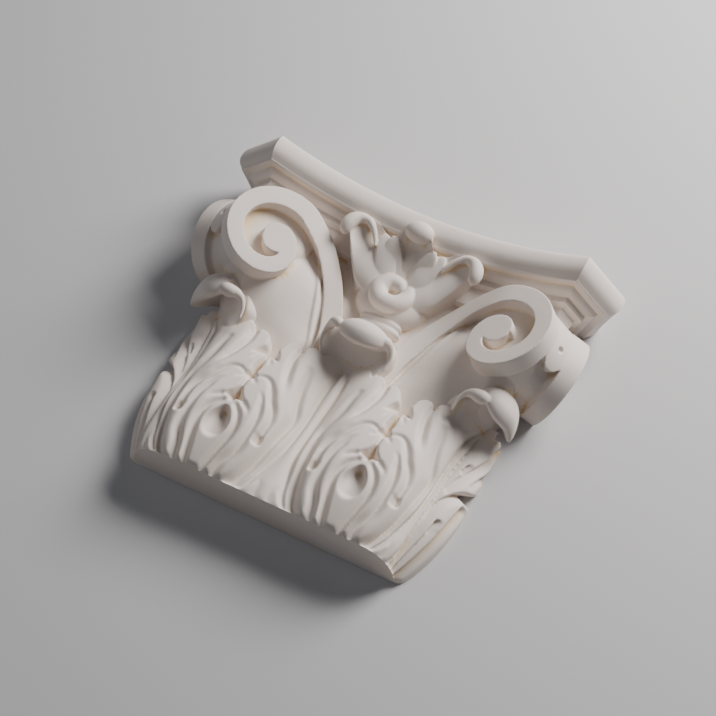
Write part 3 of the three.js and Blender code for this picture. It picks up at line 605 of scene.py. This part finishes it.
def cast_in_one(name, skins, triangles, flat_cuts):
    """Joins closed skins into one smooth cast: remeshed, eased, thinned and cut off flat."""
    vertices, faces = join_skins(skins)
    rough = bpy.data.meshes.new(name)
    rough.from_pydata(in_metres(vertices).tolist(), [], faces)
    clean = bmesh.new()
    clean.from_mesh(rough)
    bmesh.ops.recalc_face_normals(clean, faces=clean.faces)
    clean.to_mesh(rough)
    clean.free()
    body = bpy.data.objects.new(name, rough)
    scene.collection.objects.link(body)
    remesh = body.modifiers.new("remesh", "REMESH")
    remesh.mode = "VOXEL"
    remesh.voxel_size = VOXEL / 1000
    soften = body.modifiers.new("soften", "SMOOTH")
    soften.factor = 0.5
    soften.iterations = SMOOTHING_ROUNDS
    thin = body.modifiers.new("thin", "DECIMATE")
    thin.show_viewport = False
    full = body.evaluated_get(bpy.context.evaluated_depsgraph_get()).data
    thin.ratio = min(1.0, triangles / (2 * len(full.polygons)))
    thin.show_viewport = True
    shaped = bpy.data.meshes.new_from_object(body.evaluated_get(bpy.context.evaluated_depsgraph_get()))
    body.modifiers.clear()
    body.data = shaped
    bpy.data.meshes.remove(rough)
    solid = bmesh.new()
    solid.from_mesh(shaped)
    for point, normal in flat_cuts:
        geometry = [*solid.verts, *solid.edges, *solid.faces]
        cut = bmesh.ops.bisect_plane(
            solid, geom=geometry, plane_co=point, plane_no=normal, clear_outer=True, dist=1e-7
        )
        rim = [e for e in cut["geom_cut"] if isinstance(e, bmesh.types.BMEdge)]
        bmesh.ops.triangle_fill(solid, edges=rim, use_beauty=True, normal=normal)
    bmesh.ops.triangulate(solid, faces=solid.faces)
    bmesh.ops.recalc_face_normals(solid, faces=solid.faces)
    solid.to_mesh(shaped)
    solid.free()
    shaped.name = name
    return body


def finish_cast(body, crisp):
    """Smooth shading but for edges over the crisp angle, the plaster, and the frame's calls."""
    shaped = body.data
    shaped.polygons.foreach_set("use_smooth", np.ones(len(shaped.polygons), bool))
    shaped.set_sharp_from_angle(angle=math.radians(crisp))
    shaped.materials.clear()
    shaped.materials.append(plaster)
    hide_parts("capital")
    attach(body, "root")


BACK = ((0, 0, 0), (0, 0, -1))
NECK = ((0, -HALF_HEIGHT / 1000, 0), (0, -1, 0))

middle_hood = curl_hood(
    MIDDLE_HOOD, level=140, middle=2.5, half_width=17.6, droop=0, curl_place=curl_place_middle
)
corner_hood = curl_hood(
    CORNER_HOOD, level=133.5, middle=5, half_width=19.8, droop=15.5, curl_place=curl_place_corner
)
skins = [basket_skin(), curl_cup(MIDDLE_CUP, curl_place_middle), middle_hood]
for placed in (to_right, to_left):
    skins.append(placed(roll(MIDDLE_PEARL, curl_place_middle)))
    skins.append(placed(curl_cup(CORNER_CUP, curl_place_corner)))
    skins.append(placed(corner_hood))
    skins.append(placed(roll(CORNER_PEARL, curl_place_corner)))
leaves = cast_in_one("leaves", skins, triangles=185000, flat_cuts=[BACK, NECK])
finish_cast(leaves, crisp=50)

# Bell, scrolls and flower: behind and above the leaves, the bell flares to the corners,
# a stem climbs each side into a scroll, and a flower stands in the middle. One cast.
EYE_X, EYE_Y = 83.2, 174.5
FACE_STRETCH = math.hypot(1, FACE_SLOPE)
QUARTER_RADII = np.array([10.2, 13.2, 17.6, 29.3, 37.5, 41.0, 44.0])
QUARTER_SLOPES = np.gradient(QUARTER_RADII)
DIAGONAL = 78.7
SCROLL_RIM = 13.0
BELL_CORNER = 18.0


def bell_skin():
    """Plan loops of the bell at each height: front, rounded corners, straight sides."""
    up = np.linspace(104, 222, 120)
    share = np.linspace(0, 1, 70)
    half_width = bell_half_width(up)[:, None]
    flat_end = half_width - BELL_CORNER
    x = flat_end * share[None, :]
    z = bell_depth(x, up[:, None])
    turn = np.linspace(0, np.pi / 2, 14)[None, 1:]
    corner_x = flat_end + BELL_CORNER * np.sin(turn)
    corner_z = z[:, -1:] - BELL_CORNER * (1 - np.cos(turn))
    x = np.concatenate([x, corner_x, half_width], axis=1)
    z = np.concatenate([z, corner_z, 0 * half_width - BELL_CORNER - 2], axis=1)
    right = np.stack([x, np.broadcast_to(up[:, None], x.shape), z], axis=2)
    return np.concatenate([to_left(right[:, :0:-1]), right], axis=1)


def spiral_radius(angle):
    """Outer radius of the scroll by angle in degrees: cubic Hermite curve through the quarter radii."""
    q = np.clip(angle / 90, 0, len(QUARTER_RADII) - 1)
    i = np.clip(np.floor(q).astype(int), 0, len(QUARTER_RADII) - 2)
    t = q - i
    r, s = QUARTER_RADII, QUARTER_SLOPES
    h00, h10 = 2 * t**3 - 3 * t**2 + 1, t**3 - 2 * t**2 + t
    h01, h11 = -2 * t**3 + 3 * t**2, t**3 - t**2
    return h00 * r[i] + h10 * s[i] + h01 * r[i + 1] + h11 * s[i + 1]


CHANNEL_START = 218.0
CHANNEL_RUN = 190.0


def channel_radius(angle):
    """Inner radius of the band: the channel opens at its start angle and widens as a quarter sine."""
    turn = np.clip((angle - CHANNEL_START) / CHANNEL_RUN, -1, 1)
    opened = 9.6 + 16.9 * np.sin(np.pi / 2 * turn)
    return np.where(turn < 0, 4 + 5.6 * np.clip(angle / CHANNEL_START, 0, 1), opened)


def scroll_point(angle, radius):
    """Point on the scroll's face by angle and radius, stretched along the leaning face."""
    rad = np.radians(angle)
    return EYE_X + radius * np.cos(rad) / FACE_STRETCH, EYE_Y + radius * np.sin(rad)


def across_corner(points):
    """The same shape on the other face of the corner, across its diagonal."""
    x, y, z = points[..., 0], points[..., 1], points[..., 2]
    return np.stack([z + DIAGONAL, y, x - DIAGONAL], axis=-1)


# the stem's two edges [x, height], and the depth of its face by x
STEM_OUTER = [
    (17, 112), (20, 140), (24.2, 160), (29.6, 170.6), (35.9, 181.9), (44, 192.9), (52.6, 202.4),
    (62.4, 209.5),
]
STEM_INNER = [
    (28.5, 112), (32.2, 139.6), (37.8, 155.5), (42.5, 166.7), (47.4, 175.3), (53.3, 183.4), (60.1, 190.5),
    (67.8, 195.4),
]
STEM_DEPTH = [
    (14, 15.5), (20, 16), (28, 16.4), (34, 17.4), (40, 19.6), (46, 23.2), (52, 27.6), (58, 32.6), (64, 37.6),
    (70, 42.4), (76, 46.2), (82, 49.2),
]

STEM_STEPS = 60
SPIRAL_START = 468.0
FACE_BEGINS = 425.0
WALL_ENDS = 420.0
STEM_WALL = np.array([0, 0, -30.0])
DRUM_WAY = np.array([0.43, 0, -0.9])


def scroll_band():
    """The band: a four-cornered section carried up the stem and round the spiral."""
    angle = np.linspace(SPIRAL_START, 0, 160)
    outer_x, outer_y = scroll_point(angle, spiral_radius(angle))
    inner_x, inner_y = scroll_point(angle, np.minimum(channel_radius(angle), spiral_radius(angle) - 3))
    stem_outer = curve_through([*STEM_OUTER, (outer_x[0], outer_y[0])], STEM_STEPS + 1)[:-1]
    stem_inner = curve_through([*STEM_INNER, (inner_x[0], inner_y[0])], STEM_STEPS + 1)[:-1]
    outer = np.concatenate([stem_outer, np.stack([outer_x, outer_y], axis=1)])
    inner = np.concatenate([stem_inner, np.stack([inner_x, inner_y], axis=1)])
    turn = np.concatenate([np.full(STEM_STEPS, SPIRAL_START), angle])
    joined = ease(0.5, 1, np.arange(len(outer)) / STEM_STEPS)
    middle_x = (outer[:, 0] + inner[:, 0]) / 2

    def depth(line):
        """The stem's table until the spiral's face begins, and the leaning face from there."""
        x = middle_x + (line[:, 0] - middle_x) * (0.4 + 0.6 * joined)
        by_table = (turn > FACE_BEGINS) & (x < STEM_DEPTH[-1][0])
        return np.where(by_table, curve_at(STEM_DEPTH, x, 1), face_depth(line[:, 0]))

    top_outer = np.column_stack([outer, depth(outer)])
    top_inner = np.column_stack([inner, depth(inner)])
    turned_in = ease(SPIRAL_START, WALL_ENDS, turn)[:, None]
    down = STEM_WALL * (1 - turned_in) + DRUM_WAY * SCROLL_RIM * turned_in
    return np.stack([top_outer, top_inner, top_inner + down, top_outer + down], axis=1)


EYE_RADIUS = 10.0
EYE_FOOT_RADIUS = 11.0


def scroll_eye():
    """The eye: a short drum flush with the face, a little wider at its foot."""
    angle = np.linspace(0, 360, 72, endpoint=False)
    rings = []
    for sink, radius in ((0, EYE_RADIUS), (SCROLL_RIM, EYE_FOOT_RADIUS)):
        x, y = scroll_point(angle, radius)
        rings.append(np.stack([x, y, face_depth(x) - sink], axis=1))
    return np.stack(rings)


DRUM_START = 198.0
DRUM_END = 558.0


def drum_edge(angle, sink, scale):
    """Point on the drum between the faces: sunk along the drum and scaled from the spiral."""
    closing = ease(450, DRUM_END, angle)
    radius = scale * (spiral_radius(angle) * (1 - closing) + spiral_radius(np.array(DRUM_START)) * closing)
    x, y = scroll_point(angle, radius)
    return np.stack([x + DRUM_WAY[0] * sink, y, face_depth(x) + DRUM_WAY[2] * sink], axis=-1)


# rings of the drum: sink and scale, and what the open side by the stem adds to both
DRUM_RINGS = [
    (9, 0.02, 0, 0), (9, 0.7, 0, 0), (9.2, 0.86, 1.5, 0), (9, 0.975, 4.5, 0.04), (12.4, 0.99, 6, 0.08),
    (13, 0.985, 8, 0.12), (13.6, 0.9, 8, 0.1), (15.5, 0.865, 8, 0.1),
]


def scroll_drum():
    """Rings from the front face's channel floor over its rim to the waist, and on to the side face."""
    angle = np.linspace(DRUM_START, DRUM_END, 150, endpoint=False)
    opened = ease(470, 505, angle) + 1 - ease(205, 250, angle)
    half = [drum_edge(angle, sink + fall * opened, scale + spread * opened)
            for sink, scale, fall, spread in DRUM_RINGS]
    return np.stack([*half, *[across_corner(ring) for ring in half[::-1]]])


STRAP_TOP = 456.0
STRAP_FOOT = 357.0
STRAP_TONGUE = 17.0
DIMPLE_LEVEL = 179.3
DIMPLE_RADIUS = 2.2
DIMPLE_DEPTH = 2.6


def scroll_strap():
    """The strap in the waist: from the abacus down to a round tongue, with a drilled dimple."""
    down = np.linspace(0, 1, 130)[:, None]
    share = np.linspace(-0.03, 1.03, 60)[None, :]
    tongue = STRAP_TONGUE * np.sqrt(np.clip(1 - (2 * share - 1) ** 2, 0, 1))
    angle = STRAP_TOP + (STRAP_FOOT - tongue - STRAP_TOP) * down

    def surface(scale):
        """Straight lines across the waist between the drum's two rims, at a scale of the spiral."""
        near = drum_edge(angle, SCROLL_RIM, scale)
        far = across_corner(near)
        return near + (far - near) * share[..., None]

    outer = surface(0.985)
    across = (outer[..., 0] - outer[..., 2] - DIAGONAL) / math.sqrt(2)
    from_dimple = np.hypot(across, outer[..., 1] - DIMPLE_LEVEL)
    dimple = DIMPLE_DEPTH * np.sqrt(np.clip(1 - (from_dimple / DIMPLE_RADIUS) ** 2, 0, 1))
    outer -= dimple[..., None] * np.array([0.7071, 0, 0.7071])
    inner = surface(0.7)[:, ::-1]
    return np.concatenate([outer, inner], axis=1)


# the low roll that runs up the bell beside each stem: [x, height]
BEAD_LINE = [(57, 186.7), (47.3, 165.2), (41.2, 147.5), (34.8, 129.4), (32, 118)]
BEAD_RADIUS = 2.4
BEAD_SINK = 1.1


def stem_bead():
    """A roll of one radius along its line, sunk a little into the bell."""
    line = curve_through(BEAD_LINE, 12)
    depth = bell_depth(line[:, 0], line[:, 1]) - BEAD_SINK
    return roll(np.column_stack([line, depth, np.full(len(line), BEAD_RADIUS)]), curl_place_middle)


def round_knob(centre, radii):
    """An egg: rings of latitude, closed at the poles."""
    lat = np.linspace(-np.pi / 2 + 0.05, np.pi / 2 - 0.05, 30)[:, None]
    lon = np.linspace(0, 2 * np.pi, 48, endpoint=False)[None, :]
    ball = np.stack([np.cos(lat) * np.cos(lon), np.cos(lat) * np.sin(lon), np.sin(lat) + 0 * lon], axis=2)
    return ball * np.array(radii) + np.array(centre)


FLOWER_FOOT = 5.0


def lobe(stations):
    """A lobe of the flower: from middle to edges its depth goes as a power of the place across."""
    x, y, half_width, edge, middle = curve_through(stations, 60).T
    dx, dy = np.gradient(x), np.gradient(y)
    length = np.hypot(dx, dy)
    across = np.stack([dy / length, -dx / length], axis=1)
    side = np.linspace(-1, 1, 33)
    px = x[:, None] + across[:, :1] * side * half_width[:, None]
    py = y[:, None] + across[:, 1:] * side * half_width[:, None]
    pz = middle[:, None] + (edge - middle)[:, None] * np.abs(side) ** 2.2
    front = np.stack([px, py, pz], axis=2)
    foot = front[:, [-1, 0]].copy()
    foot[..., 2] = FLOWER_FOOT
    return np.concatenate([front, foot], axis=1)


# the snail on the bulb, wound round its hole: angle, distance from the hole, depth, radius
SNAIL = [
    (30, 6.4, 22, 3.6), (70, 7.6, 22.6, 5.4), (120, 8.8, 23, 6.2), (180, 9.6, 23, 6.6), (240, 10.0, 23, 6.8),
    (300, 10.3, 22.6, 6.8), (350, 11, 21.8, 6.5), (390, 12.8, 21, 5.6), (425, 16, 19, 3.6),
]
SNAIL_LEVEL = 187.5
HOLE_LEVEL = 187.8
HOLE_RADIUS = 6.5
HOLE_DEPTH = 11.0


def snail():
    """The small shell on the bulb: a roll that winds once round a deep hole and runs off to the right."""
    turn, reach, z, radius = np.array(SNAIL).T
    x, y = reach * np.cos(np.radians(turn)), SNAIL_LEVEL + reach * np.sin(np.radians(turn))
    return roll(np.stack([x, y, z, radius], axis=1), curl_place_middle)


def bulb():
    """The flower's bulb: an egg made steep at its sides by a power, with a round hole under the snail."""
    egg = round_knob((1, 187, 0), (26.5, 22, 1))
    egg[..., 2] = 7 + 17.5 * np.sign(egg[..., 2]) * np.abs(egg[..., 2]) ** 0.55
    from_hole = np.hypot(egg[..., 0], egg[..., 1] - HOLE_LEVEL)
    egg[..., 2] -= HOLE_DEPTH * np.clip(1 - (from_hole / HOLE_RADIUS) ** 2, 0, 1)
    return egg


# the flower's lobes: x, height, half width, depth of the edges, depth of the middle
SIDE_LOBE = [
    (10, 180, 6, 18, 21), (14, 189, 11, 21, 25), (18, 196, 14, 24, 27), (23, 204, 14.8, 28, 28.5),
    (29, 211.5, 14.2, 32, 30.5), (34.5, 217, 12.6, 35.4, 31.6), (39, 221, 10.5, 38, 34.6),
    (42.5, 223.5, 8, 38.6, 38),
]
# the rolled edge of a side lobe: x, height, depth, radius
ROLLED_EDGE = [
    (48.6, 209, 35.5, 0.8), (49.2, 211.6, 37.4, 3.8), (49.2, 215.6, 39, 5), (47.6, 220.6, 39.6, 5),
    (43.6, 224.8, 39.4, 4), (38, 225.8, 38.6, 3), (31.8, 221.6, 37, 2.3), (27.4, 215.5, 35, 1.5),
    (25.4, 211, 33.6, 0.6),
]
# the other lobes, as the side lobe
SMALL_LOBE = [
    (5, 184, 4, 16, 18), (8.4, 193, 6, 22, 24), (12.4, 201, 7, 27, 28.6), (16, 208.5, 7, 30.4, 31.6),
    (19.4, 215, 5.8, 33.4, 34.2), (22, 220.4, 3.4, 35.6, 36), (23.2, 223, 0.8, 36, 36),
]
MIDDLE_LOBE = [
    (0, 194, 11, 20, 21), (0, 204, 12, 26, 22), (0, 212, 14, 31.5, 25), (0, 218, 15.8, 36, 28),
    (0, 222.6, 14, 38.5, 31), (0, 227, 11, 41, 36), (0, 233, 9, 42, 41),
]
FAN = [
    (0, 182, 20, 12, 20), (0, 192, 26, 15, 22), (0, 201, 31.5, 18, 22.5), (0, 209, 35, 20, 23.5),
    (0, 215, 34, 22, 25), (0, 219.5, 28, 24, 27), (0, 222.5, 18, 26, 28),
]
SHOULDER = [
    (4, 194, 4, 15, 17), (7.4, 202, 5.4, 22.6, 24), (10.6, 209, 6.2, 28.6, 29.6), (13.2, 215, 5.6, 33.4, 34),
    (15, 219.6, 3.8, 36.4, 36.8), (16, 223, 0.8, 37.6, 37.6),
]

skins = [bell_skin()]
for placed in (to_right, to_left):
    skins.append(placed(scroll_band()))
    skins.append(placed(scroll_eye()))
    skins.append(placed(across_corner(scroll_band())))
    skins.append(placed(across_corner(scroll_eye())))
    skins.append(placed(scroll_drum()))
    skins.append(placed(scroll_strap()))
    skins.append(placed(stem_bead()))
    skins.append(placed(lobe(SIDE_LOBE)))
    skins.append(placed(roll(ROLLED_EDGE, curl_place_middle)))
    skins.append(placed(lobe(SMALL_LOBE)))
    skins.append(placed(lobe(SHOULDER)))
skins += [lobe(FAN), lobe(MIDDLE_LOBE), snail(), bulb()]
skins.append(round_knob((1.5, 162.4, 12), (17, 5, 7)))
skins.append(round_knob((1.5, 167.4, 12.4), (16, 5, 7.4)))
skins.append(round_knob((-0.5, 231, 40.5), (10.4, 8, 7)))
scrolls = cast_in_one("scrolls", skins, triangles=190000, flat_cuts=[BACK])
finish_cast(scrolls, crisp=50)

# Abacus: the hollow-sided slab on top, a moulding run round its edge over the cove and
# fillet that it stands on. Part of the same cast, cut flat at the top.

# the moulding from the top down: how far in from the edge, how far down
ABACUS_PROFILE = [
    (0, 0), (-0.5, 0.5), (-1.2, 2.5), (-1.6, 5), (-1.6, 8), (-1.3, 11), (-0.5, 13.5), (0.9, 16), (2.8, 18),
    (3.2, 18.6), (3.5, 19.4), (4.2, 19.8), (9, 19.9), (9.4, 20.3), (10, 21.6), (11.4, 23), (13.4, 24.1),
    (15.2, 24.5), (15.5, 25), (15.5, 28.6), (15.8, 29.2), (19, 30.2), (19.6, 30.8), (20.3, 36),
    (21, 40), (22, 44),
]

HOLLOW_RADIUS = 286.0
FRONT_CENTRE = np.array([0, 324.3])
SIDE_CENTRE = np.array([406.7, -83.0])
CORNER_REACH = 127.2
CORNER_NORMAL = np.array([0.6997, 0.7144])
CORNER_AHEAD = np.array([0.7144, -0.6997])


def abacus_plan(inset):
    """Right half of the plan moved in: hollow front arc, cut corner and hollow side arc down to the wall."""
    radius = HOLLOW_RADIUS + inset

    def corner(centre, way):
        """Where the arc round a centre meets the line of the cut corner."""
        gap = CORNER_NORMAL @ centre - (CORNER_REACH - inset)
        return centre - gap * CORNER_NORMAL + way * math.sqrt(radius**2 - gap**2) * CORNER_AHEAD

    first, last = corner(FRONT_CENTRE, 1), corner(SIDE_CENTRE, -1)
    x = np.linspace(0, first[0], 90)
    front_arc = np.stack([x, FRONT_CENTRE[1] - np.sqrt(radius**2 - x**2)], axis=1)
    cut_corner = first + np.linspace(0, 1, 15)[1:, None] * (last - first)
    z = last[1] * np.linspace(1, 0, 27)[1:]
    side_arc = np.stack([SIDE_CENTRE[0] - np.sqrt(radius**2 - (z - SIDE_CENTRE[1]) ** 2), z], axis=1)
    return np.concatenate([front_arc, cut_corner, side_arc])


plans = np.stack([abacus_plan(inset) for inset, drop in ABACUS_PROFILE])
levels = np.stack([np.full(plans.shape[1], 2 * HALF_HEIGHT - drop) for inset, drop in ABACUS_PROFILE])
right = np.stack([plans[..., 0], levels, plans[..., 1]], axis=2)
vertices, faces = closed(np.concatenate([to_left(right[:, :0:-1]), right], axis=1))
abacus_mesh = bpy.data.meshes.new("abacus")
abacus_mesh.from_pydata(in_metres(vertices).tolist(), [], faces)
abacus = bpy.data.objects.new("abacus", abacus_mesh)
scene.collection.objects.link(abacus)
abacus_solid = bmesh.new()
abacus_solid.from_mesh(abacus_mesh)
bmesh.ops.triangulate(abacus_solid, faces=abacus_solid.faces, ngon_method="EAR_CLIP")
bmesh.ops.recalc_face_normals(abacus_solid, faces=abacus_solid.faces)
abacus_solid.to_mesh(abacus_mesh)
abacus_solid.free()
finish_cast(abacus, crisp=28)

# Painted shade and warm tint in the hollows: each point's depth under the relief round it, kept as an
# attribute that the plaster reads to paint deep points darker (painted shade) and yellower (aged plaster).
# It is worked out over the three pieces together, as they are one cast.
MAP_SIZE = 330
MAP_MIDDLE = 165


def blurred(field, radius):
    """Gaussian blur of a map along each axis in turn."""
    reach = int(3 * radius)
    weight = np.exp(-0.5 * (np.arange(-reach, reach + 1) / radius) ** 2)
    weight /= weight.sum()
    for axis in (0, 1):
        field = np.apply_along_axis(lambda line: np.convolve(line, weight, mode="same"), axis, field)
    return field


def map_cell(points):
    """Row and column of the 1 mm map under each point."""
    column, row = np.clip((points[:, :2] + MAP_MIDDLE).astype(int), 0, MAP_SIZE - 1).T
    return row, column


def add_hollow_shade_and_age(bodies):
    """Height of the relief on the map, blurred; a point's hollow is how far it lies under that, and the
    plaster paints it darker as painted shade and yellower as aged plaster.
    """
    heights = np.zeros((MAP_SIZE, MAP_SIZE))
    clouds = []
    for body in bodies:
        points = np.empty(len(body.data.vertices) * 3)
        body.data.vertices.foreach_get("co", points)
        points = points.reshape(-1, 3) * 1000
        clouds.append(points)
        np.maximum.at(heights, map_cell(points), points[:, 2])
    # empty cells take the highest of the cells round them
    for _ in range(3):
        padded = np.pad(heights, 1)
        shifts = [padded[i : i + MAP_SIZE, j : j + MAP_SIZE] for i in range(3) for j in range(3)]
        highest = np.max(shifts, axis=0)
        heights = np.where(heights > 0, heights, highest)
    near, wide = blurred(heights, 1.6), blurred(heights, 4.5)
    for body, points in zip(bodies, clouds):
        cell = map_cell(points)
        depth = points[:, 2]
        normals = np.empty(len(points) * 3)
        body.data.vertices.foreach_get("normal", normals)
        seen = ease(0.0, 0.3, normals[2::3]) * (1 - ease(9, 13, highest[cell] - depth))
        under = 0.5 * np.clip((near[cell] - depth - 0.6) / 3.2, 0, 1)
        under += 0.5 * np.clip((wide[cell] - depth - 3.5) / 8, 0, 1)
        # the hollow attribute paints shade into the colour: deeper points are painted darker as well as
        # yellower
        layer = body.data.attributes.new("hollow", "FLOAT", "POINT")
        layer.data.foreach_set("value", np.clip(1.35 * under * seen, 0, 1).astype(np.float32))


add_hollow_shade_and_age([leaves, scrolls, abacus])
